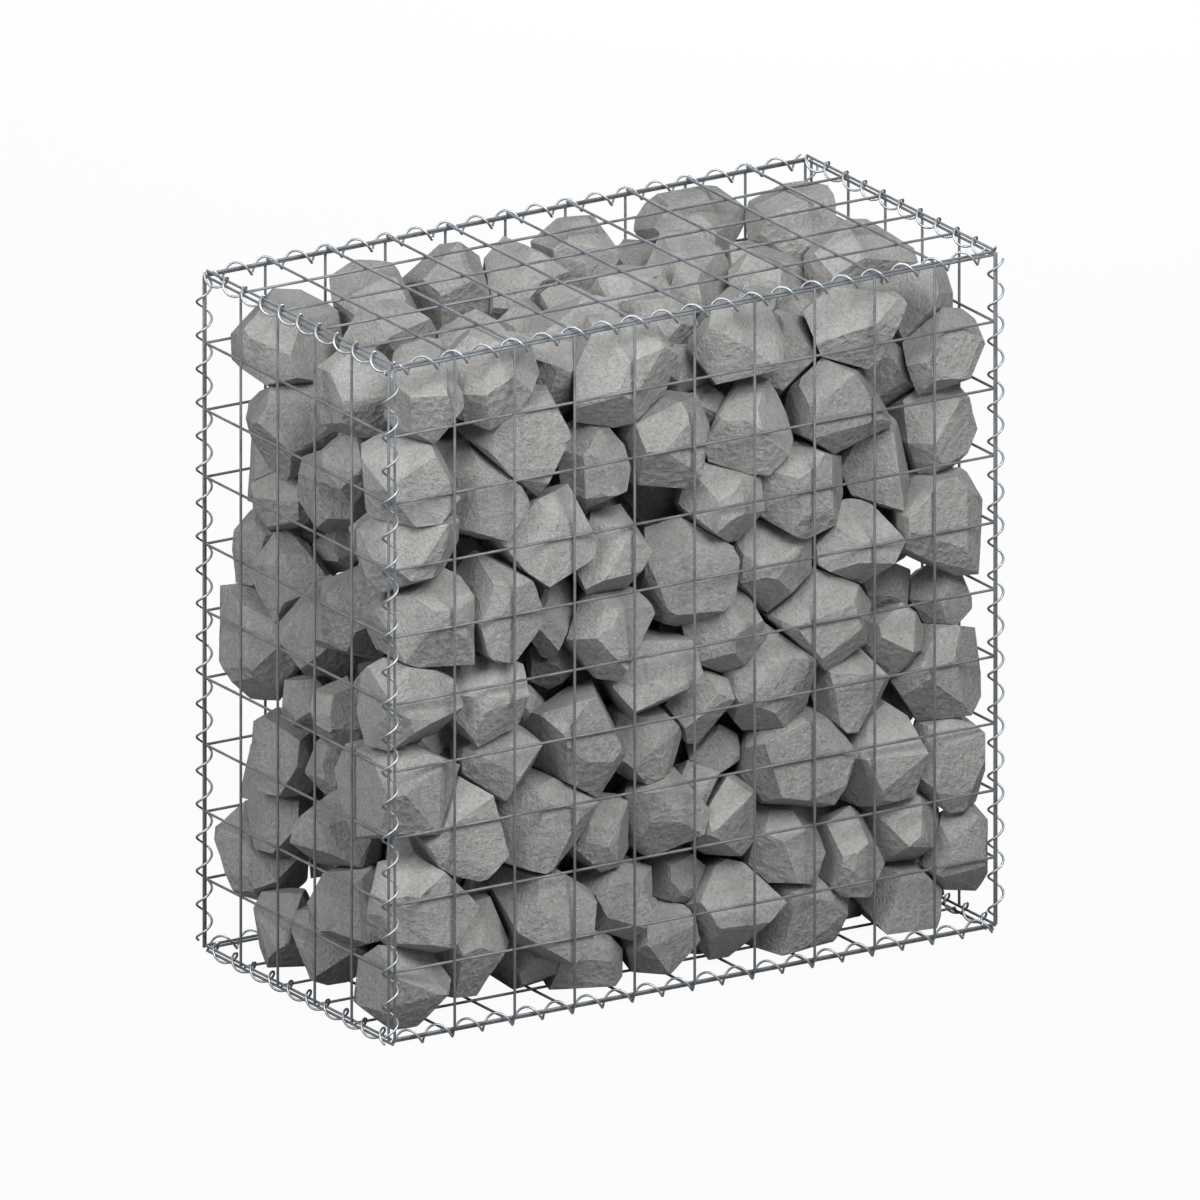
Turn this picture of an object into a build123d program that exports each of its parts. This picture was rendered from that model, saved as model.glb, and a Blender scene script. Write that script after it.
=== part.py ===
from build123d import *
import os
import random
from math import cos, radians, sin, sqrt

import numpy as np
from scipy.spatial import HalfspaceIntersection

# A gabion: a free-standing basket of six welded mesh panels, laced together along
# all twelve edges by helical coils and filled with broken quarry stone.
# Millimetres. X is the width, Y the depth (the front is -Y) and Z is up from the
# underside of the lower coils, on which the basket stands.

# Basket, measured between the edge wires of its panels
basket_width = 1000.0
basket_depth = 500.0
basket_height = 1000.0
mesh_aperture = 100.0

# Mesh wire: on each panel one set of wires lies outside the other
wire_diameter = 4.0
wire_sides = 8
wire_overhang = 2.0
panel_clearance = 0.3

# Lacing coils, two turns to each mesh opening
coil_diameter = 25.0
coil_wire_diameter = 3.5
coil_wire_sides = 8
coil_turns_per_cell = 2
coil_end_cut = 6.0
coil_clearance = 0.3

# Stone fill: broken blocks, each resting on one or two below it
stone_size = 128.0
stone_clearance = 0.3
stone_edge_merge = 3.0
stone_bearing = 5.0
stone_facets = 10
stone_courses = 8
seen_layer = 76.0
fill_seed = 7
facet_reach_shares = (0.8, 1.0)
facet_tilt_share = 0.5
facet_likeness_share = 0.74
spike_share = 1.5
chip_share = 1.2
hidden_size_shares = (0.8, 1.15)
jitter_share = 0.2
crowd_share = 0.58
fill_height_share = 0.95
near_share = 1.7
bearing_slope_share = 0.35
floor_reach_share = 1.2

# The photograph, in pixels: the front lower left corner of the basket, the runs from it
# along the width, the depth and the height, and the breadth of a stone of stone_size
photo_corner = (392.0, 1038.9)
photo_width_run = (600.0, -115.4)
photo_depth_run = (-184.8, -93.7)
photo_height_run = (0.0, -669.5)
photo_stone = 90.0

# Stones seen through the front: centre, breadth and height in pixels, and how far back
# the centre lies as a share of the depth
front_stones_px_and_share = (
    (420, 405, 60, 90, 0.13), (487, 378, 88, 100, 0.13), (545, 370, 64, 76, 0.24),
    (616, 372, 92, 108, 0.13), (678, 372, 50, 52, 0.27), (733, 347, 88, 78, 0.13),
    (780, 352, 62, 90, 0.22), (806, 322, 50, 64, 0.30), (853, 322, 90, 90, 0.13),
    (922, 308, 62, 92, 0.20), (948, 348, 78, 88, 0.09),
    (520, 440, 105, 98, 0.11), (592, 462, 64, 98, 0.17), (655, 442, 82, 104, 0.13),
    (703, 410, 46, 56, 0.22), (742, 430, 94, 88, 0.14), (829, 405, 90, 102, 0.11),
    (885, 370, 50, 76, 0.24), (930, 428, 84, 90, 0.15), (872, 462, 62, 108, 0.17),
    (405, 480, 92, 96, 0.13), (480, 488, 82, 98, 0.14), (540, 534, 84, 104, 0.12),
    (608, 549, 80, 92, 0.12), (682, 566, 104, 88, 0.14), (720, 498, 70, 90, 0.14),
    (793, 484, 100, 96, 0.12), (935, 518, 98, 104, 0.12), (847, 540, 86, 84, 0.12),
    (766, 560, 94, 82, 0.15), (404, 546, 98, 82, 0.14), (464, 556, 44, 50, 0.28),
    (424, 622, 108, 96, 0.13), (495, 606, 80, 108, 0.12), (547, 612, 62, 68, 0.20),
    (602, 629, 86, 82, 0.11), (677, 636, 46, 52, 0.22), (722, 628, 84, 82, 0.13),
    (818, 611, 106, 88, 0.12), (880, 590, 70, 50, 0.24), (937, 596, 62, 70, 0.17),
    (890, 637, 70, 68, 0.12), (932, 665, 90, 108, 0.12), (762, 675, 110, 100, 0.13),
    (845, 683, 80, 84, 0.13), (696, 700, 56, 78, 0.15), (890, 700, 52, 42, 0.28),
    (405, 700, 106, 86, 0.13), (478, 692, 78, 82, 0.12), (552, 658, 56, 46, 0.26),
    (645, 671, 92, 74, 0.13), (575, 737, 94, 104, 0.12), (640, 742, 72, 82, 0.15),
    (495, 755, 84, 90, 0.15), (527, 715, 34, 70, 0.26), (712, 750, 50, 52, 0.20),
    (788, 755, 120, 96, 0.12), (874, 755, 86, 98, 0.13), (945, 758, 80, 98, 0.10),
    (402, 788, 112, 106, 0.13), (455, 825, 92, 108, 0.12), (536, 817, 92, 108, 0.12),
    (592, 828, 68, 80, 0.16), (660, 806, 86, 82, 0.14), (692, 793, 50, 80, 0.18),
    (722, 813, 74, 80, 0.13), (778, 840, 84, 88, 0.14), (843, 850, 66, 98, 0.13),
    (898, 822, 80, 84, 0.15), (954, 846, 76, 76, 0.09),
    (412, 902, 100, 100, 0.13), (480, 888, 40, 44, 0.30), (541, 907, 102, 94, 0.13),
    (613, 892, 78, 76, 0.15), (672, 871, 58, 52, 0.20), (724, 904, 90, 104, 0.16),
    (793, 905, 82, 108, 0.17), (898, 898, 80, 86, 0.15), (838, 905, 52, 48, 0.30),
    (937, 885, 34, 44, 0.30),
    (460, 943, 94, 100, 0.20), (520, 946, 72, 90, 0.24), (582, 959, 78, 78, 0.18),
    (654, 936, 80, 96, 0.20), (687, 936, 44, 84, 0.28), (385, 985, 100, 78, 0.12),
    (874, 525, 84, 84, 0.36),
)
# Stones seen through the left end, with the share of the width to their centre
left_stones_px_and_share = (
    (283, 347, 104, 98, 0.09), (358, 390, 76, 84, 0.07), (290, 425, 86, 88, 0.07),
    (243, 450, 54, 96, 0.10), (338, 420, 42, 54, 0.18), (350, 470, 50, 78, 0.07),
    (281, 497, 56, 68, 0.08), (330, 488, 58, 90, 0.09), (240, 533, 54, 80, 0.08),
    (288, 573, 72, 88, 0.08), (332, 547, 50, 40, 0.16), (355, 610, 72, 100, 0.07),
    (318, 632, 70, 84, 0.08), (256, 640, 94, 108, 0.07), (308, 702, 48, 70, 0.09),
    (343, 712, 50, 70, 0.08), (243, 757, 48, 88, 0.10), (288, 750, 68, 92, 0.07),
    (333, 768, 44, 56, 0.09), (262, 843, 98, 86, 0.07), (283, 815, 66, 84, 0.08),
    (345, 830, 86, 70, 0.08), (352, 900, 76, 96, 0.08), (290, 928, 68, 80, 0.055),
    (330, 940, 62, 92, 0.07), (275, 532, 76, 72, 0.15), (325, 530, 80, 76, 0.17),
)
# Stones seen through the lid, with the share of the height to their centre
top_stones_px_and_share = (
    (375, 310, 80, 80, 0.92), (440, 290, 88, 88, 0.92), (520, 285, 88, 92, 0.92),
    (575, 258, 80, 80, 0.945), (688, 230, 114, 90, 0.945), (790, 232, 98, 76, 0.945),
    (850, 258, 98, 66, 0.945), (390, 337, 92, 66, 0.92), (570, 312, 74, 56, 0.92),
    (765, 285, 70, 56, 0.92), (628, 292, 80, 56, 0.93),
)

# Where the strand of each upright coil stands beside the level wires, in plan
coil_front_left_angle = 152.0
coil_back_left_angle = 61.0
coil_front_right_angle = 2.0
coil_back_right_angle = 48.0

# The panels stand clear of each other where their edge wires pass at the corners
wall_set = 1.5 * wire_diameter + panel_clearance
lid_set = sqrt(2) * (wire_diameter + panel_clearance) + wire_diameter / 2 - panel_clearance

# Each level coil hangs on (or carries) the outermost wires of the lid or the floor
coil_radius = (coil_diameter - coil_wire_diameter) / 2
coil_bore_radius = coil_diameter / 2 - coil_wire_diameter
coil_reach = coil_bore_radius - coil_clearance
panel_edge = lid_set + wire_diameter / 2
foot = coil_diameter / 2 + panel_edge - coil_reach
head = foot + basket_height
lower_coil_height = coil_diameter / 2
upper_coil_height = head + panel_edge - coil_reach
coil_set = (wall_set - wire_diameter) / 2
# Each upright coil bears on the edge wire of the front or the back panel
coil_lean = (coil_reach - wire_diameter / 2) / sqrt(2) - wall_set / 2

cells_wide = max(1, round(basket_width / mesh_aperture))
cells_deep = max(1, round(basket_depth / mesh_aperture))
cells_high = max(1, round(basket_height / mesh_aperture))


def stations(start, length, cells):
    return [start + length * i / cells for i in range(cells + 1)]


across = stations(-basket_width / 2, basket_width, cells_wide)
along = stations(-basket_depth / 2, basket_depth, cells_deep)
levels = stations(foot, basket_height, cells_high)


def wire(start, direction, length):
    """A straight mesh wire of few sides, with flats towards the wires it is welded to."""
    side = Vector(0, 0, 1) if abs(direction.Z) < 0.5 else Vector(1, 0, 0)
    section = RegularPolygon(wire_diameter / 2, wire_sides, major_radius=False,
                             rotation=180 / wire_sides)
    return extrude(Plane(origin=start, x_dir=side, z_dir=direction) * section, amount=length)


def weld(wires):
    return wires[0].fuse(*wires[1:])


X_AXIS, Y_AXIS, Z_AXIS = Vector(1, 0, 0), Vector(0, 1, 0), Vector(0, 0, 1)


def wall_panel(side):
    """Front (side -1) or back: upright wires outside, level wires inside."""
    outer = side * (basket_depth / 2 + wall_set)
    inner = outer - side * wire_diameter
    upright = [wire(Vector(x, outer, foot - wire_overhang), Z_AXIS,
                    basket_height + 2 * wire_overhang) for x in across]
    level = [wire(Vector(-basket_width / 2, inner, z), X_AXIS, basket_width) for z in levels]
    return weld(upright + level)


def end_panel(side):
    """Left (side -1) or right end: upright wires outside, level wires inside."""
    outer = side * (basket_width / 2 + wall_set)
    inner = outer - side * wire_diameter
    upright = [wire(Vector(outer, y, foot - wire_overhang), Z_AXIS,
                    basket_height + 2 * wire_overhang) for y in along]
    level = [wire(Vector(inner, -basket_depth / 2, z), Y_AXIS, basket_depth) for z in levels]
    return weld(upright + level)


def flat_panel(side):
    """Lid (side +1) or floor: cross wires outside, long wires inside."""
    outer = (head if side > 0 else foot) + side * lid_set
    inner = outer - side * wire_diameter
    cross = [wire(Vector(x, -basket_depth / 2 - wire_overhang, outer), Y_AXIS,
                  basket_depth + 2 * wire_overhang) for x in across]
    long_wires = [wire(Vector(-basket_width / 2, y, inner), X_AXIS, basket_width)
                  for y in along]
    return weld(cross + long_wires)


def coil(corner, axis, span, cells, start):
    """A right-handed coil along an edge, wound in step with the mesh. At each crossing
    wire its strand lies in the direction `start` from the coil's own axis."""
    pitch = span / cells / coil_turns_per_cell
    length = span - 2 * coil_end_cut
    turned = start.rotate(Axis((0, 0, 0), axis), 360 * coil_end_cut / pitch)
    frame = Plane(origin=corner + axis * coil_end_cut, x_dir=turned, z_dir=axis)
    path = frame * Helix(pitch, length, coil_radius)
    section = RegularPolygon(coil_wire_diameter / 2, coil_wire_sides, major_radius=False,
                             rotation=180 / coil_wire_sides)
    across_path = Plane(origin=path @ 0, z_dir=path % 0, x_dir=turned)
    return sweep(across_path * section, path=path, is_frenet=True)


def long_coil(side, height, lift):
    corner = Vector(-basket_width / 2, side * (basket_depth / 2 + coil_set), height)
    return coil(corner, X_AXIS, basket_width, cells_wide, Z_AXIS * lift)


def cross_coil(side, height, lift):
    corner = Vector(side * (basket_width / 2 + coil_set), -basket_depth / 2, height)
    return coil(corner, Y_AXIS, basket_depth, cells_deep, Z_AXIS * lift)


def corner_axis(side_x, side_y):
    return Vector(side_x * (basket_width / 2 + wall_set / 2 + coil_lean),
                  side_y * (basket_depth / 2 + wall_set / 2 - coil_lean), foot)


def corner_coil(side_x, side_y, angle):
    start = Vector(cos(radians(angle)), sin(radians(angle)), 0)
    return coil(corner_axis(side_x, side_y), Z_AXIS, basket_height, cells_high, start)


# Room for the stones: inside the wires, and clear of the coils along the edges
room_x = basket_width / 2 + wall_set - 1.5 * wire_diameter - stone_clearance
room_y = basket_depth / 2 + wall_set - 1.5 * wire_diameter - stone_clearance
room_low = foot - lid_set + 1.5 * wire_diameter + stone_clearance
room_high = head + lid_set - 1.5 * wire_diameter - stone_clearance
coil_room = coil_diameter / 2 + stone_clearance


def room_planes():
    """The faces of the room as (outward normal, distance from the origin)."""
    faces = [((1, 0, 0), room_x), ((-1, 0, 0), room_x), ((0, 1, 0), room_y),
             ((0, -1, 0), room_y), ((0, 0, 1), room_high), ((0, 0, -1), -room_low)]
    for s in (-1, 1):
        for t in (-1, 1):
            height = upper_coil_height if t > 0 else lower_coil_height
            edges = [((s, t, 0), corner_axis(s, t)),
                     ((0, s, t), Vector(0, s * (basket_depth / 2 + coil_set), height)),
                     ((s, 0, t), Vector(s * (basket_width / 2 + coil_set), 0, height))]
            for direction, axis_point in edges:
                normal = Vector(*direction).normalized()
                faces.append((tuple(normal), normal.dot(axis_point) - coil_room))
    return faces


def seen_stones():
    """The stones that the photograph shows: share of the width, depth and height at the
    centre, half size, and the way that the face on view looks."""
    runs = np.array((photo_width_run, photo_depth_run, photo_height_run))
    scale = stone_size / photo_stone / 2
    for rows, known, face in ((front_stones_px_and_share, 1, (0, -1, 0)),
                              (left_stones_px_and_share, 0, (-1, 0, 0)),
                              (top_stones_px_and_share, 2, (0, 0, 1))):
        free = [axis for axis in range(3) if axis != known]
        for x, y, wide, high, share in rows:
            place = np.zeros(3)
            place[known] = share
            rest = np.array((x, y)) - photo_corner - share * runs[known]
            place[free] = np.linalg.solve(runs[free].T, rest)
            yield place, np.array((wide, (wide + high) / 2, high)) * scale, face


def stone_places(rng):
    """Centres, half sizes and outward faces of all the stones: those on view, and others
    behind them on a jittered grid."""
    low = np.array((-room_x, -room_y, room_low))
    size = np.array((2 * room_x, 2 * room_y, room_high - room_low))
    places = []
    for share, half, face in seen_stones():
        centre = np.clip(low + share * size, low + 0.5 * half, low + size - 0.5 * half)
        places.append((centre, half, face))
    counts = [max(1, round(length / stone_size)) for length in size]
    for cell in np.ndindex(*reversed(counts)):
        jitter = np.array([rng.uniform(-jitter_share, jitter_share) for _ in range(3)])
        centre = low + size * (np.array(cell[::-1]) + 0.5 + jitter) / counts
        centre[2] = room_low + (centre[2] - room_low) * fill_height_share
        half = stone_size / 2 * np.array([rng.uniform(*hidden_size_shares) for _ in range(3)])
        set_back = min(centre[0] + room_x, centre[1] + room_y)
        if set_back > seen_layer and all(
                np.linalg.norm(centre - c) > crowd_share * (half.mean() + h.mean())
                for c, h, _ in places):
            places.append((centre, half, None))
    return places


def facet_normals(rng, count, face):
    """Facet directions spread at random, the first about square to the face on view."""
    normals = []
    if face:
        normals.append(np.array(face) + [rng.gauss(0, facet_tilt_share) for _ in range(3)])
        normals[0] /= np.linalg.norm(normals[0])
    while len(normals) < count:
        v = np.array([rng.gauss(0, 1) for _ in range(3)])
        v /= np.linalg.norm(v)
        if all(v @ w < facet_likeness_share for w in normals):
            normals.append(v)
    return normals


def break_stones(places, rng):
    """Broken stones: each is bounded by its own facets, by the planes it shares with its
    neighbours, at which they bear on each other, and by the faces of the room."""
    centres = np.array([p[0] for p in places])
    halves = np.array([p[1] for p in places])
    radii = halves.mean(axis=1)
    room = [(np.array(n), d) for n, d in room_planes()]
    near, bearing = {}, {i: set() for i in range(len(places))}
    for i, centre in enumerate(centres):
        away = centres - centre
        apart = np.linalg.norm(away, axis=1)
        closeness = apart / (radii + radii[i])
        order = [j for j in np.argsort(closeness) if j != i]
        near[i] = [j for j in order if closeness[j] < near_share]
        below = [j for j in near[i] if away[j][2] < -bearing_slope_share * apart[j]]
        for rank, j in enumerate(below[:2]):
            if rank == 0 or closeness[j] < 1:
                bearing[i].add(j)
                bearing[j].add(i)
    stones = []
    for i, (centre, half, face) in enumerate(places):
        planes = [(n, d - n @ centre) for n, d in room]
        seats = []
        if centre[2] - room_low < floor_reach_share * half[2]:
            seats.append(np.array((0, 0, room_low - centre[2])))
        for j in near[i]:
            away = centres[j] - centre
            apart = np.linalg.norm(away)
            meet = apart * radii[i] / (radii[i] + radii[j])
            planes.append((away / apart, meet - stone_clearance / 2))
            if j in bearing[i]:
                seats.append(away / apart * meet)

        def facet(normal, share):
            reach = np.linalg.norm(half * normal) * share
            return normal, max([reach] + [normal @ s + stone_bearing for s in seats])

        for normal in facet_normals(rng, stone_facets, face):
            planes.append(facet(normal, rng.uniform(*facet_reach_shares)))
        for spike in tidy(corners_of(planes)):
            out = spike / np.linalg.norm(spike)
            if np.linalg.norm(spike) > spike_share * np.linalg.norm(half * out):
                planes.append(facet(out, chip_share))
        stones.append(ConvexPolyhedron(tidy(corners_of(planes)) + centre))
    return stones


def corners_of(planes):
    halfspaces = np.array([[*normal, -distance] for normal, distance in planes])
    return HalfspaceIntersection(halfspaces, np.zeros(3)).intersections


def tidy(corners):
    """Corners closer than stone_edge_merge become one."""
    groups = []
    for c in corners:
        for g in groups:
            if np.linalg.norm(c - g[0]) < stone_edge_merge:
                g.append(c)
                break
        else:
            groups.append([c])
    return np.array([np.mean(g, axis=0) for g in groups])


nodes = {
    "front_panel": [wall_panel(-1)],
    "back_panel": [wall_panel(1)],
    "left_end_panel": [end_panel(-1)],
    "right_end_panel": [end_panel(1)],
    "lid_panel": [flat_panel(1)],
    "floor_panel": [flat_panel(-1)],
    "coil_front_top": [long_coil(-1, upper_coil_height, 1)],
    "coil_front_bottom": [long_coil(-1, lower_coil_height, -1)],
    "coil_back_top": [long_coil(1, upper_coil_height, 1)],
    "coil_back_bottom": [long_coil(1, lower_coil_height, -1)],
    "coil_left_top": [cross_coil(-1, upper_coil_height, 1)],
    "coil_left_bottom": [cross_coil(-1, lower_coil_height, -1)],
    "coil_right_top": [cross_coil(1, upper_coil_height, 1)],
    "coil_right_bottom": [cross_coil(1, lower_coil_height, -1)],
    "coil_front_left": [corner_coil(-1, -1, coil_front_left_angle)],
    "coil_front_right": [corner_coil(1, -1, coil_front_right_angle)],
    "coil_back_left": [corner_coil(-1, 1, coil_back_left_angle)],
    "coil_back_right": [corner_coil(1, 1, coil_back_right_angle)],
}

fill_rng = random.Random(fill_seed)
fill_places = stone_places(fill_rng)
fill = break_stones(fill_places, fill_rng)
course_height = (room_high - room_low) / stone_courses
for (centre, _, _), stone in zip(fill_places, fill):
    course = min(stone_courses, int((centre[2] - room_low) / course_height) + 1)
    nodes.setdefault(f"stone_course_{course}", []).append(stone)

os.makedirs("parts", exist_ok=True)
for name, solids in nodes.items():
    shape = solids[0] if len(solids) == 1 else Compound(children=solids)
    export_step(shape, f"parts/{name}.step")
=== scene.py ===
"""A stone-filled gabion basket: welded mesh panels, lacing coils and broken quarry stone.

Metres. X is the width, Y the depth with the front at -Y, Z up from the lower coils.
"""

import math
import random

import bmesh
import bpy
from mathutils import Matrix, Vector, noise


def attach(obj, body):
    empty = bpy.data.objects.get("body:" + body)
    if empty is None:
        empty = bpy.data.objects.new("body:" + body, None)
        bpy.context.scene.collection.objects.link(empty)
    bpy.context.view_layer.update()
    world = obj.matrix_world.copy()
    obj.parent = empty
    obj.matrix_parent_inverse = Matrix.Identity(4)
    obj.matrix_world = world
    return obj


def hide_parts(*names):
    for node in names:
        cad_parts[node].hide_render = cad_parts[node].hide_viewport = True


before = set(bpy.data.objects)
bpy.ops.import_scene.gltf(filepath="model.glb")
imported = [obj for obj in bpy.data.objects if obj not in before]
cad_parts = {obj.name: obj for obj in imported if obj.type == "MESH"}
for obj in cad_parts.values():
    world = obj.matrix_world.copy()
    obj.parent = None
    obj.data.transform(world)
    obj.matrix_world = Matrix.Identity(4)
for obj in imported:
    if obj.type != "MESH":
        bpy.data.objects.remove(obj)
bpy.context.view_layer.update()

# The basket, as in the part's source
WIDTH, DEPTH, HEIGHT = 1.0, 0.5, 1.0
CELL = 0.1
WIRE = 0.004
OVERHANG = 0.002
GAP = 0.0003
COIL = 0.025
COIL_WIRE = 0.0035
COIL_TURNS_PER_CELL = 2
COIL_END = 0.006

WALL_SET = 1.5 * WIRE + GAP
LID_SET = math.sqrt(2) * (WIRE + GAP) + WIRE / 2 - GAP
COIL_RADIUS = (COIL - COIL_WIRE) / 2
COIL_REACH = COIL / 2 - COIL_WIRE - GAP
PANEL_EDGE = LID_SET + WIRE / 2
FOOT = COIL / 2 + PANEL_EDGE - COIL_REACH
HEAD = FOOT + HEIGHT
LOWER_COIL = COIL / 2
UPPER_COIL = HEAD + PANEL_EDGE - COIL_REACH
COIL_SET = (WALL_SET - WIRE) / 2
COIL_LEAN = (COIL_REACH - WIRE / 2) / math.sqrt(2) - WALL_SET / 2

X, Y, Z = Vector((1, 0, 0)), Vector((0, 1, 0)), Vector((0, 0, 1))


def stations(start, length):
    """The places of the wires that cross a side."""
    cells = round(length / CELL)
    return [start + length * i / cells for i in range(cells + 1)]


ACROSS = stations(-WIDTH / 2, WIDTH)
ALONG = stations(-DEPTH / 2, DEPTH)
LEVELS = stations(FOOT, HEIGHT)


# Materials

BLOOM_SCALE, BLOOM_DETAIL, BLOOM_BAND = 22.0, 5.0, (0.38, 0.68)
SPANGLE_SHARE, BLOOM_SHARE = 0.35, 0.65
FINE_SCALE, FINE_DETAIL = 900.0, 2.0
PATCH_ROUGHNESS = 0.22
SPANGLE_RELIEF = 0.3
ZINC_BUMP = {"Strength": 0.25, "Distance": 0.0002}

MESH_LOOK = {"Bright": (0.23, 0.25, 0.27, 1), "Dull": (0.145, 0.16, 0.175, 1),
             "Spangle": 420.0, "Sheen": 0.66}
COIL_LOOK = {"Bright": (0.37, 0.385, 0.40, 1), "Dull": (0.245, 0.26, 0.28, 1),
             "Spangle": 420.0, "Sheen": 0.36}

STONE_DARK, STONE_PALE = (0.186, 0.185, 0.181, 1), (0.455, 0.453, 0.441, 1)
# Scale, detail and roughness of each noise
STONE_NOISES = {"mottle": (13.0, 2.0, 0.5), "cloud": (60.0, 3.0, 0.6),
                "grit": (190.0, 3.0, 0.65), "speck": (430.0, 2.0, 0.7),
                "streak": (1.0, 3.0, 0.6)}
STREAK_STRETCH = (120.0, 120.0, 20.0)
NOISE_MIDDLE = 0.5
NOISE_TONES = {"mottle": 0.22, "cloud": 0.35, "grit": 1.0, "speck": 0.95}
# The third of these pales the narrow arris bands: a painted highlight along the stones' edges.
STREAK_TONE, STONE_TONE, ARRIS_PAINTED_HIGHLIGHT, MIDDLE_TONE = 0.3, 0.12, 0.16, 0.5
NOISE_RELIEF = {"cloud": 0.7, "grit": 1.0, "speck": 0.4}
STREAK_RELIEF, PIT_RELIEF = 0.35, 1.3
PIT_SCALE = 78.0
STEEP_BAND, UNDER_BAND = (0.35, 0.8), (-0.6, 0.35)
STONE_BUMP = {"Strength": 0.8, "Distance": 0.004}
STONE_SPECULAR = 0.06
STONE_ROUGHNESS_BAND, STONE_ROUGHNESS = (0.3, 0.7), (0.84, 0.96)


def add(tree, kind, inputs=None, **settings):
    """A node with its settings and inputs; an input is a value or another node's socket."""
    made = tree.nodes.new(kind)
    for name, value in settings.items():
        setattr(made, name, value)
    for name, value in (inputs or {}).items():
        if isinstance(value, bpy.types.NodeSocket):
            tree.links.new(value, made.inputs[name])
        else:
            made.inputs[name].default_value = value
    return made


def math_node(tree, operation, a, b=0.0, c=0.0, clamp=False):
    return add(tree, "ShaderNodeMath", {0: a, 1: b, 2: c}, operation=operation,
               use_clamp=clamp).outputs[0]


def spread(tree, value, band, to_low=0.0, to_high=1.0):
    """Smoothly carries a band of values to to_low..to_high."""
    return add(tree, "ShaderNodeMapRange",
               {"Value": value, "From Min": band[0], "From Max": band[1],
                "To Min": to_low, "To Max": to_high},
               interpolation_type="SMOOTHSTEP").outputs["Result"]


def mix_colour(tree, factor, a, b):
    """The colour mix; its sockets share names between data types, so they go by number."""
    return add(tree, "ShaderNodeMix", data_type="RGBA",
               inputs={0: factor, 6: a, 7: b}).outputs[2]


def grain(tree, vector, scale, detail, roughness=0.6):
    return add(tree, "ShaderNodeTexNoise",
               {"Vector": vector, "Scale": scale, "Detail": detail,
                "Roughness": roughness}).outputs["Fac"]


def new_material(name):
    """A material, its node tree, its shader and its object coordinates."""
    material = bpy.data.materials.new(name)
    material.use_nodes = True
    tree = material.node_tree
    place = add(tree, "ShaderNodeTexCoord").outputs["Object"]
    return material, tree, tree.nodes["Principled BSDF"], place


def zinc_group():
    """Galvanised wire: fine spangle, and a dull bloom in patches."""
    group = bpy.data.node_groups.new("zinc_coat", "ShaderNodeTree")
    face = group.interface
    for name, kind in (("Vector", "NodeSocketVector"), ("Bright", "NodeSocketColor"),
                       ("Dull", "NodeSocketColor"), ("Spangle", "NodeSocketFloat"),
                       ("Sheen", "NodeSocketFloat")):
        face.new_socket(name=name, in_out="INPUT", socket_type=kind)
    for name, kind in (("Color", "NodeSocketColor"), ("Roughness", "NodeSocketFloat"),
                       ("Height", "NodeSocketFloat")):
        face.new_socket(name=name, in_out="OUTPUT", socket_type=kind)
    given = group.nodes.new("NodeGroupInput").outputs
    place = given["Vector"]
    cells = add(group, "ShaderNodeTexVoronoi", {"Vector": place, "Scale": given["Spangle"]})
    spangle = add(group, "ShaderNodeSeparateColor", {0: cells.outputs["Color"]}).outputs[0]
    bloom = spread(group, grain(group, place, BLOOM_SCALE, BLOOM_DETAIL), BLOOM_BAND)
    dulled = math_node(group, "MULTIPLY", bloom, BLOOM_SHARE)
    patch = math_node(group, "MULTIPLY_ADD", spangle, SPANGLE_SHARE, dulled)
    fine = grain(group, place, FINE_SCALE, FINE_DETAIL)
    add(group, "NodeGroupOutput", {
        "Color": mix_colour(group, patch, given["Bright"], given["Dull"]),
        "Roughness": math_node(group, "MULTIPLY_ADD", patch, PATCH_ROUGHNESS, given["Sheen"]),
        "Height": math_node(group, "MULTIPLY_ADD", spangle, SPANGLE_RELIEF, fine)})
    return group


ZINC = zinc_group()


def zinc_wire(name, look):
    material, tree, shader, place = new_material(name)
    coat = add(tree, "ShaderNodeGroup", node_tree=ZINC)
    tree.links.new(place, coat.inputs["Vector"])
    for key, value in look.items():
        coat.inputs[key].default_value = value
    bump = add(tree, "ShaderNodeBump", {**ZINC_BUMP, "Height": coat.outputs["Height"]})
    shader.inputs["Metallic"].default_value = 1.0
    tree.links.new(coat.outputs["Color"], shader.inputs["Base Color"])
    tree.links.new(coat.outputs["Roughness"], shader.inputs["Roughness"])
    tree.links.new(bump.outputs["Normal"], shader.inputs["Normal"])
    return material


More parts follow.
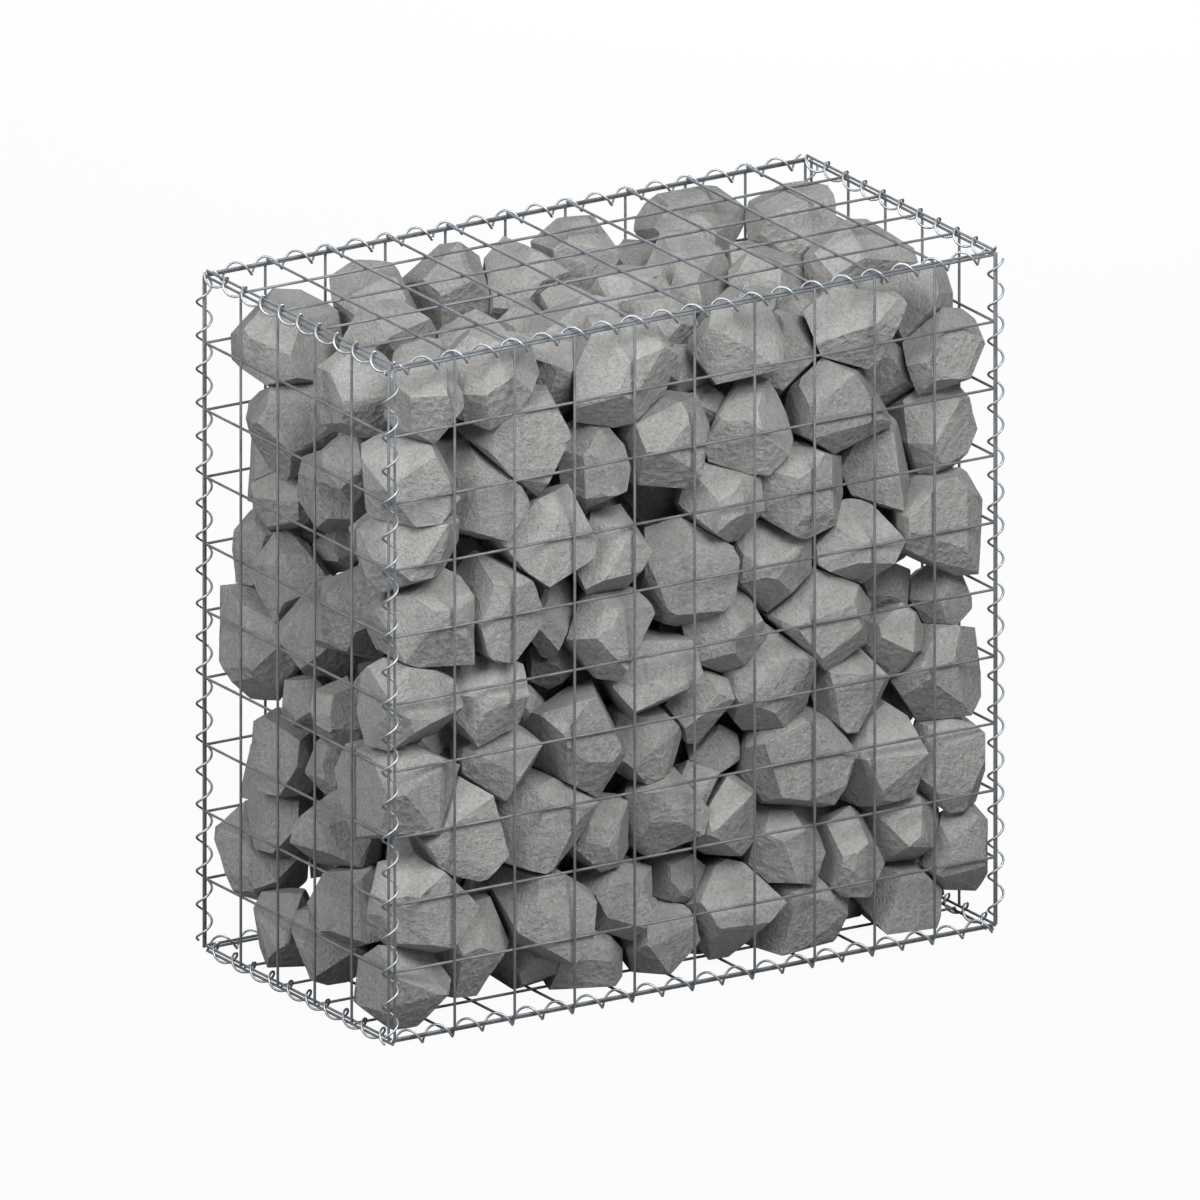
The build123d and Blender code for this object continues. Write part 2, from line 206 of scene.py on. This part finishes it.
def quarry_stone():
    """Grey broken stone: mottled, fine grained, streaked on steep faces, dimpled below, with a
    painted highlight on its arrises.
    """
    material, tree, shader, place = new_material("quarry_stone")

    def times(a, b):
        return math_node(tree, "MULTIPLY", a, b)

    def plus(a, b, clamp=False):
        return math_node(tree, "ADD", a, b, clamp=clamp)

    def centred(value):
        return math_node(tree, "SUBTRACT", value, NOISE_MIDDLE)

    def attribute(name):
        return add(tree, "ShaderNodeAttribute", attribute_name=name).outputs["Fac"]

    normal = add(tree, "ShaderNodeNewGeometry").outputs["Normal"]
    up = add(tree, "ShaderNodeSeparateXYZ", {0: normal}).outputs["Z"]
    steep = spread(tree, math_node(tree, "ABSOLUTE", up), STEEP_BAND, 1.0, 0.0)
    under = spread(tree, up, UNDER_BAND, 1.0, 0.0)
    drawn_out = add(tree, "ShaderNodeMapping", {"Vector": place, "Scale": STREAK_STRETCH})
    noises = {name: grain(tree, drawn_out.outputs[0] if name == "streak" else place, *form)
              for name, form in STONE_NOISES.items()}
    streak = times(centred(noises["streak"]), steep)

    value = times(streak, STREAK_TONE)
    for name, weight in NOISE_TONES.items():
        value = plus(value, times(centred(noises[name]), weight))
    value = plus(value, times(attribute("tone"), STONE_TONE))
    # Painted highlight: the narrow arris bands are made paler to stand in for light catching the
    # edges.
    value = plus(value, times(attribute("arris"), ARRIS_PAINTED_HIGHLIGHT))
    colour = mix_colour(tree, plus(value, MIDDLE_TONE, clamp=True), STONE_DARK, STONE_PALE)

    pits = add(tree, "ShaderNodeTexVoronoi",
               {"Vector": place, "Scale": PIT_SCALE}).outputs["Distance"]
    height = times(times(pits, under), PIT_RELIEF)
    for name, weight in NOISE_RELIEF.items():
        height = plus(height, times(noises[name], weight))
    height = plus(height, times(streak, STREAK_RELIEF))
    bump = add(tree, "ShaderNodeBump", {**STONE_BUMP, "Height": height})
    rough = spread(tree, noises["cloud"], STONE_ROUGHNESS_BAND, *STONE_ROUGHNESS)

    shader.inputs["Specular IOR Level"].default_value = STONE_SPECULAR
    tree.links.new(colour, shader.inputs["Base Color"])
    tree.links.new(rough, shader.inputs["Roughness"])
    tree.links.new(bump.outputs["Normal"], shader.inputs["Normal"])
    return material


MESH_ZINC = zinc_wire("mesh_zinc", MESH_LOOK)
COIL_ZINC = zinc_wire("coil_zinc", COIL_LOOK)
STONE = quarry_stone()


def finish_piece(bm, name, material, node):
    """Turns the bmesh into a piece that stands for a CAD node."""
    mesh = bpy.data.meshes.new(name)
    bm.to_mesh(mesh)
    bm.free()
    mesh.materials.append(material)
    mesh.shade_smooth()
    piece = bpy.data.objects.new(name, mesh)
    bpy.context.scene.collection.objects.link(piece)
    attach(piece, "root")
    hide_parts(node)


def once(items):
    """Each item once, in the order of the first time it comes."""
    return list(dict.fromkeys(items))


def aligned(direction):
    """The turn that carries Z to a direction."""
    return direction.to_track_quat("Z", "Y").to_matrix().to_4x4()


# Welded mesh panels

WIRE_SIDES = 14
WIRE_END_ROUND = 0.0006
WELD_SPOT = (WIRE * 0.5, WIRE * 0.5, WIRE * 0.3, 1)
WELD_SIDES, WELD_RINGS = 8, 4


def drawn_wire(bm, start, direction, length):
    """A straight round wire with its cut ends slightly rounded."""
    place = Matrix.Translation(start + direction * length / 2) @ aligned(direction)
    made = bmesh.ops.create_cone(bm, cap_ends=True, segments=WIRE_SIDES, radius1=WIRE / 2,
                                 radius2=WIRE / 2, depth=length, matrix=place)
    rims = once(e for v in made["verts"] for e in v.link_edges
                if abs((e.verts[0].co - e.verts[1].co).dot(direction)) < length / 2)
    bmesh.ops.bevel(bm, geom=rims, offset=WIRE_END_ROUND, offset_type="OFFSET",
                    segments=2, profile=0.5, affect="EDGES", material=-1)


def weld_spot(bm, place, out):
    """The squeezed metal between two crossing wires."""
    form = Matrix.Translation(place) @ aligned(out) @ Matrix.Diagonal(WELD_SPOT)
    bmesh.ops.create_uvsphere(bm, u_segments=WELD_SIDES, v_segments=WELD_RINGS, radius=1.0,
                              matrix=form)


def mesh_panel(name, outer_wires, inner_wires, crossings, out):
    bm = bmesh.new()
    for start, direction, length in outer_wires + inner_wires:
        drawn_wire(bm, start, direction, length)
    for place in crossings:
        weld_spot(bm, place, out)
    finish_piece(bm, name + "_wires", MESH_ZINC, name)


def wall_panel(name, side):
    outer = side * (DEPTH / 2 + WALL_SET)
    inner = outer - side * WIRE
    mesh_panel(name,
               [(Vector((x, outer, FOOT - OVERHANG)), Z, HEIGHT + 2 * OVERHANG) for x in ACROSS],
               [(Vector((-WIDTH / 2, inner, z)), X, WIDTH) for z in LEVELS],
               [Vector((x, (outer + inner) / 2, z)) for x in ACROSS for z in LEVELS], Y * side)


def end_panel(name, side):
    outer = side * (WIDTH / 2 + WALL_SET)
    inner = outer - side * WIRE
    mesh_panel(name,
               [(Vector((outer, y, FOOT - OVERHANG)), Z, HEIGHT + 2 * OVERHANG) for y in ALONG],
               [(Vector((inner, -DEPTH / 2, z)), Y, DEPTH) for z in LEVELS],
               [Vector(((outer + inner) / 2, y, z)) for y in ALONG for z in LEVELS], X * side)


def flat_panel(name, side):
    outer = (HEAD if side > 0 else FOOT) + side * LID_SET
    inner = outer - side * WIRE
    mesh_panel(name,
               [(Vector((x, -DEPTH / 2 - OVERHANG, outer)), Y, DEPTH + 2 * OVERHANG)
                for x in ACROSS],
               [(Vector((-WIDTH / 2, y, inner)), X, WIDTH) for y in ALONG],
               [Vector((x, y, (outer + inner) / 2)) for x in ACROSS for y in ALONG], Z * side)


wall_panel("front_panel", -1)
wall_panel("back_panel", 1)
end_panel("left_end_panel", -1)
end_panel("right_end_panel", 1)
flat_panel("lid_panel", 1)
flat_panel("floor_panel", -1)


# Lacing coils

COIL_SIDES = 12
COIL_STEPS_PER_TURN = 26
COIL_END_BEVEL = 0.0003
# Name, side in X, side in Y, and the angle in degrees at which the strand starts
CORNER_COILS = (("front_left", -1, -1, 152), ("back_left", -1, 1, 61),
                ("front_right", 1, -1, 2), ("back_right", 1, 1, 48))


def lacing_coil(name, corner, axis, span, start):
    """A round wire spun along an edge, its strand at `start` beside each crossing wire."""
    pitch = CELL / COIL_TURNS_PER_CELL
    length = span - 2 * COIL_END
    turns = length / pitch
    steps = round(turns * COIL_STEPS_PER_TURN)
    out = Matrix.Rotation(2 * math.pi * COIL_END / pitch, 3, axis) @ start
    tangent = axis.cross(out) * (2 * math.pi * COIL_RADIUS) + axis * pitch
    root = corner + axis * COIL_END
    bm = bmesh.new()
    ring = bmesh.ops.create_circle(
        bm, cap_ends=False, segments=COIL_SIDES, radius=COIL_WIRE / 2,
        matrix=Matrix.Translation(root + out * COIL_RADIUS) @ aligned(tangent))
    edges = once(e for v in ring["verts"] for e in v.link_edges)
    bmesh.ops.spin(bm, geom=ring["verts"] + edges, cent=root, axis=axis,
                   dvec=axis * (length / steps), angle=2 * math.pi * turns, steps=steps)
    caps = bmesh.ops.holes_fill(bm, edges=[e for e in bm.edges if e.is_boundary], sides=0)
    bmesh.ops.recalc_face_normals(bm, faces=bm.faces)
    rims = once(e for f in caps["faces"] for e in f.edges)
    bmesh.ops.bevel(bm, geom=rims, offset=COIL_END_BEVEL, offset_type="OFFSET", segments=1,
                    profile=0.5, affect="EDGES", material=-1)
    finish_piece(bm, name + "_wire", COIL_ZINC, name)


for row, level, lift in (("top", UPPER_COIL, 1), ("bottom", LOWER_COIL, -1)):
    for name, side in (("front", -1), ("back", 1)):
        corner = Vector((-WIDTH / 2, side * (DEPTH / 2 + COIL_SET), level))
        lacing_coil(f"coil_{name}_{row}", corner, X, WIDTH, Z * lift)
    for name, side in (("left", -1), ("right", 1)):
        corner = Vector((side * (WIDTH / 2 + COIL_SET), -DEPTH / 2, level))
        lacing_coil(f"coil_{name}_{row}", corner, Y, DEPTH, Z * lift)

for name, side_x, side_y, angle in CORNER_COILS:
    corner = Vector((side_x * (WIDTH / 2 + WALL_SET / 2 + COIL_LEAN),
                     side_y * (DEPTH / 2 + WALL_SET / 2 - COIL_LEAN), FOOT))
    turned = Vector((math.cos(math.radians(angle)), math.sin(math.radians(angle)), 0))
    lacing_coil(f"coil_{name}", corner, Z, HEIGHT, turned)


# Stone fill

FILL_SEED = 31
CAD_SEAM = 0.00002
SHORTEST_ARRIS = 0.018
SPLIT_DEPTHS = (0.003, 0.010)
SPLIT_TILT = 0.28
FLAKES_PER_STONE = (2, 4)
FLAKE_DEPTHS = (0.001, 0.0035)
FLAKE_TILT = 0.1
FLAKE_LEAST_EDGE = 0.02
FLAKE_REACH = (0.3, 0.7)
BISECT_SNAP = 0.000001
ARRIS_WEAR = (0.0004, 0.0010)
WEAR_INSET = 1.25
FLAT_ANGLE = math.radians(1.5)
LEAST_EDGE = 0.00005
LONGEST_EDGE = 0.018
HALVINGS = 4
FACET_LEAST_INRADIUS = 0.003
SWELL_DEPTH, SWELL_FREQUENCY = 0.0006, 20
SWELL_FORM = (0.9, 2.1, 4)
NICK_DEPTH, NICK_FREQUENCY, NICK_LEVEL = 0.002, 33, 0.2
NICK_SHIFT = Vector((7, 3, 1))


def stone_groups(bm):
    """The faces of each separate stone."""
    seen = set()
    for first in bm.faces:
        if first in seen:
            continue
        stone, reached = [], [first]
        seen.add(first)
        while reached:
            face = reached.pop()
            stone.append(face)
            for near in (f for e in face.edges for f in e.link_faces):
                if near not in seen:
                    seen.add(near)
                    reached.append(near)
        yield stone


def merge_flat(bm):
    bmesh.ops.dissolve_limit(bm, angle_limit=FLAT_ANGLE, verts=bm.verts, edges=bm.edges)
    bmesh.ops.recalc_face_normals(bm, faces=bm.faces)


def split_long(bm):
    """Triangles with no long edge; quads are cut the short way, which keeps them sound."""
    for _ in range(HALVINGS):
        bmesh.ops.triangulate(bm, faces=bm.faces, quad_method="SHORT_EDGE")
        far = [e for e in bm.edges if e.calc_length() > LONGEST_EDGE]
        if not far:
            break
        bmesh.ops.subdivide_edges(bm, edges=far, cuts=1, use_grid_fill=True)
    bmesh.ops.triangulate(bm, faces=bm.faces, quad_method="SHORT_EDGE")


def outward(place):
    """The basket side nearest to a place: an end, the front, the back or the lid."""
    shares = (2 * place.x / WIDTH, 2 * place.y / DEPTH,
              max(0.0, 2 * (place.z - FOOT) / HEIGHT - 1))
    axis = max(range(3), key=lambda i: abs(shares[i]))
    return (X, Y, Z)[axis] * math.copysign(1, shares[axis])


def jog(rng, amount):
    return Vector([rng.gauss(0, amount) for _ in range(3)])


def split_face(corners, rng):
    """A broad broken face that looks out of the basket: a place on it, and its direction."""
    middle = sum(corners, Vector()) / len(corners)
    out = (outward(middle) + jog(rng, SPLIT_TILT)).normalized()
    far = max(corners, key=lambda c: c.dot(out))
    return far - out * rng.uniform(*SPLIT_DEPTHS), out


def flaked_corners(corners, rng):
    """The corners of a stone after its outer face has split and flakes have left its arrises."""
    bm = bmesh.new()
    for corner in corners:
        bm.verts.new(corner)
    bmesh.ops.remove_doubles(bm, verts=bm.verts, dist=SHORTEST_ARRIS)
    bmesh.ops.convex_hull(bm, input=bm.verts, use_existing_faces=False)
    merge_flat(bm)
    sharp = [e for e in bm.edges if e.is_manifold and e.calc_length() > FLAKE_LEAST_EDGE]
    sharp.sort(key=lambda e: tuple(round(c, 5) for c in e.verts[0].co + e.verts[1].co))
    flakes = [split_face(corners, rng)]
    for edge in rng.sample(sharp, min(len(sharp), rng.randint(*FLAKES_PER_STONE))):
        both = edge.link_faces[0].normal + edge.link_faces[1].normal
        out = (both + jog(rng, FLAKE_TILT)).normalized()
        place = edge.verts[0].co.lerp(edge.verts[1].co, rng.uniform(*FLAKE_REACH))
        flakes.append((place - out * rng.uniform(*FLAKE_DEPTHS), out))
    for place, out in flakes:
        bmesh.ops.bisect_plane(bm, geom=bm.verts[:] + bm.edges[:] + bm.faces[:],
                               dist=BISECT_SNAP, plane_co=place, plane_no=out, clear_outer=True)
    left = [v.co.copy() for v in bm.verts]
    bm.free()
    return left


def rounded_hull(corners, rng):
    """The hull of small balls at the corners, drawn in so that it stays inside them."""
    middle = sum(corners, Vector()) / len(corners)
    bm = bmesh.new()
    wear = rng.uniform(*ARRIS_WEAR)
    turn = Matrix.Rotation(rng.uniform(0, 6), 3, Vector((rng.gauss(0, 1), rng.gauss(0, 1), 1)))
    ball = bmesh.ops.create_icosphere(bm, subdivisions=1, radius=wear, matrix=turn.to_4x4())
    around = [v.co.copy() for v in ball["verts"]]
    bm.clear()
    keep = 1 - WEAR_INSET * wear / min((c - middle).length for c in corners)
    for corner in corners:
        for step in around:
            bm.verts.new(middle + (corner - middle) * keep + step)
    hull = bmesh.ops.convex_hull(bm, input=bm.verts, use_existing_faces=False)
    inside = once(g for g in hull["geom_interior"] + hull["geom_unused"]
                  if isinstance(g, bmesh.types.BMVert))
    bmesh.ops.delete(bm, geom=inside, context="VERTS")
    bmesh.ops.dissolve_degenerate(bm, dist=LEAST_EDGE, edges=bm.edges)
    merge_flat(bm)
    return bm


def worn_stone(corners, rng):
    """One stone with flat facets and narrow worn arrises, inside its own corners."""
    bm = rounded_hull(flaked_corners(corners, rng), rng)
    # Marks the narrow arris bands: they take the nicks below, and the stone material paints a
    # highlight on them.
    arris = bm.faces.layers.float.new("arris")
    facets = {f for f in bm.faces
              if f.calc_area() > FACET_LEAST_INRADIUS / 2 * f.calc_perimeter()}
    for face in bm.faces:
        face[arris] = 0.0 if face in facets else 1.0
    for edge in {e for f in facets for e in f.edges}:
        edge.smooth = False
    split_long(bm)
    arris = bm.faces.layers.float["arris"]
    tone = bm.verts.layers.float.new("tone")
    shade = rng.uniform(-1, 1)
    bm.normal_update()
    for vert in bm.verts:
        swell = noise.fractal(vert.co * SWELL_FREQUENCY, *SWELL_FORM)
        nick = noise.noise(vert.co * NICK_FREQUENCY + NICK_SHIFT) - NICK_LEVEL
        worn = max(f[arris] for f in vert.link_faces)
        sunk = SWELL_DEPTH * abs(swell) + NICK_DEPTH * worn * max(0.0, nick)
        vert.co -= vert.normal * sunk
        vert[tone] = shade
    return bm


def broken_stones(node, rng):
    """All the stones of one course, joined as one piece."""
    cad = bmesh.new()
    cad.from_mesh(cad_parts[node].data)
    bmesh.ops.remove_doubles(cad, verts=cad.verts, dist=CAD_SEAM)
    course = bmesh.new()
    for faces in stone_groups(cad):
        stone = worn_stone([v.co.copy() for v in once(v for f in faces for v in f.verts)], rng)
        mesh = bpy.data.meshes.new("stone")
        stone.to_mesh(mesh)
        stone.free()
        course.from_mesh(mesh)
        bpy.data.meshes.remove(mesh)
    cad.free()
    finish_piece(course, node + "_stones", STONE, node)


fill_rng = random.Random(FILL_SEED)
for course in sorted(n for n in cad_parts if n.startswith("stone_course")):
    broken_stones(course, fill_rng)


# Floor, light and camera

WHITE = (1, 1, 1, 1)
FLOOR_RADIUS, FLOOR_SIDES, FLOOR_DROP = 14.0, 96, 0.0005
FLOOR_BOUNCE = (0.3, 0.3, 0.3, 1)
FLOOR_WHITE_SHARE = 0.96
SKY_LIGHT, SKY_STRENGTH = (1, 0.99, 0.98, 1), 0.08
LIGHT_AIM = Vector((0, 0, 0.5))
LIGHT_SIZE = 2.2
# Name, place and watts
SOFT_BOXES = (("overhead", (-0.2, -2.8, 3.6), 170), ("front_fill", (0, -4.6, 1.8), 16),
              ("left_fill", (-3.6, -1.0, 2.9), 132), ("back_fill", (2.9, 3.9, 1.3), 190))
VIEW_AZIMUTH, VIEW_ELEVATION = math.radians(-31.63), math.radians(18.2)
VIEW_SPAN, VIEW_DISTANCE, VIEW_END = 1.703, 6.0, 60.0


def mix_shaders(tree, factor, first, second, output):
    mixed = add(tree, "ShaderNodeMixShader", {0: factor})
    tree.links.new(first.outputs[0], mixed.inputs[1])
    tree.links.new(second.outputs[0], mixed.inputs[2])
    tree.links.new(mixed.outputs[0], output.inputs["Surface"])


def studio_floor():
    """A plain floor that the camera sees as white and that gives little light back."""
    bm = bmesh.new()
    bmesh.ops.create_circle(bm, cap_ends=True, segments=FLOOR_SIDES, radius=FLOOR_RADIUS,
                            matrix=Matrix.Translation((0, 0, -FLOOR_DROP)))
    mesh = bpy.data.meshes.new("studio_floor")
    bm.to_mesh(mesh)
    bm.free()
    floor = bpy.data.objects.new("studio_floor", mesh)
    bpy.context.scene.collection.objects.link(floor)
    material = bpy.data.materials.new("studio_white")
    material.use_nodes = True
    tree = material.node_tree
    tree.nodes.remove(tree.nodes["Principled BSDF"])
    seen = add(tree, "ShaderNodeLightPath").outputs["Is Camera Ray"]
    paper = add(tree, "ShaderNodeBsdfDiffuse", {"Color": FLOOR_BOUNCE})
    white = add(tree, "ShaderNodeEmission", {"Color": WHITE, "Strength": 1.0})
    share = math_node(tree, "MULTIPLY", seen, FLOOR_WHITE_SHARE)
    mix_shaders(tree, share, paper, white, tree.nodes["Material Output"])
    mesh.materials.append(material)


def studio_world():
    """A white surround for the camera and for reflections, and a faint one for light."""
    world = bpy.data.worlds.new("studio")
    bpy.context.scene.world = world
    world.use_nodes = True
    tree = world.node_tree
    tree.nodes.clear()
    path = add(tree, "ShaderNodeLightPath").outputs
    shown = math_node(tree, "ADD", path["Is Camera Ray"], path["Is Glossy Ray"], clamp=True)
    shown = math_node(tree, "ADD", shown, path["Is Transmission Ray"], clamp=True)
    soft = add(tree, "ShaderNodeBackground", {"Color": SKY_LIGHT, "Strength": SKY_STRENGTH})
    plain = add(tree, "ShaderNodeBackground", {"Color": WHITE, "Strength": 1.0})
    mix_shaders(tree, shown, soft, plain, add(tree, "ShaderNodeOutputWorld"))


def soft_box(name, place, power):
    light = bpy.data.lights.new(name, "AREA")
    light.shape, light.size, light.energy = "SQUARE", LIGHT_SIZE, power
    lamp = bpy.data.objects.new(name, light)
    lamp.location = place
    lamp.rotation_euler = (LIGHT_AIM - Vector(place)).to_track_quat("-Z", "Y").to_euler()
    bpy.context.scene.collection.objects.link(lamp)


def photo_camera():
    """The photograph's parallel view, from the front left and above."""
    back = Vector((math.sin(VIEW_AZIMUTH) * math.cos(VIEW_ELEVATION),
                   -math.cos(VIEW_AZIMUTH) * math.cos(VIEW_ELEVATION),
                   math.sin(VIEW_ELEVATION)))
    lens = bpy.data.cameras.new("photo_view")
    lens.type = "ORTHO"
    lens.ortho_scale = VIEW_SPAN
    lens.clip_end = VIEW_END
    camera = bpy.data.objects.new("photo_view", lens)
    camera.location = Vector((0, 0, FOOT + HEIGHT / 2)) + back * VIEW_DISTANCE
    camera.rotation_euler = (-back).to_track_quat("-Z", "Y").to_euler()
    bpy.context.scene.collection.objects.link(camera)
    bpy.context.scene.camera = camera
    bpy.context.scene.view_settings.view_transform = "Standard"


studio_floor()
studio_world()
for name, place, power in SOFT_BOXES:
    soft_box(name, place, power)
photo_camera()
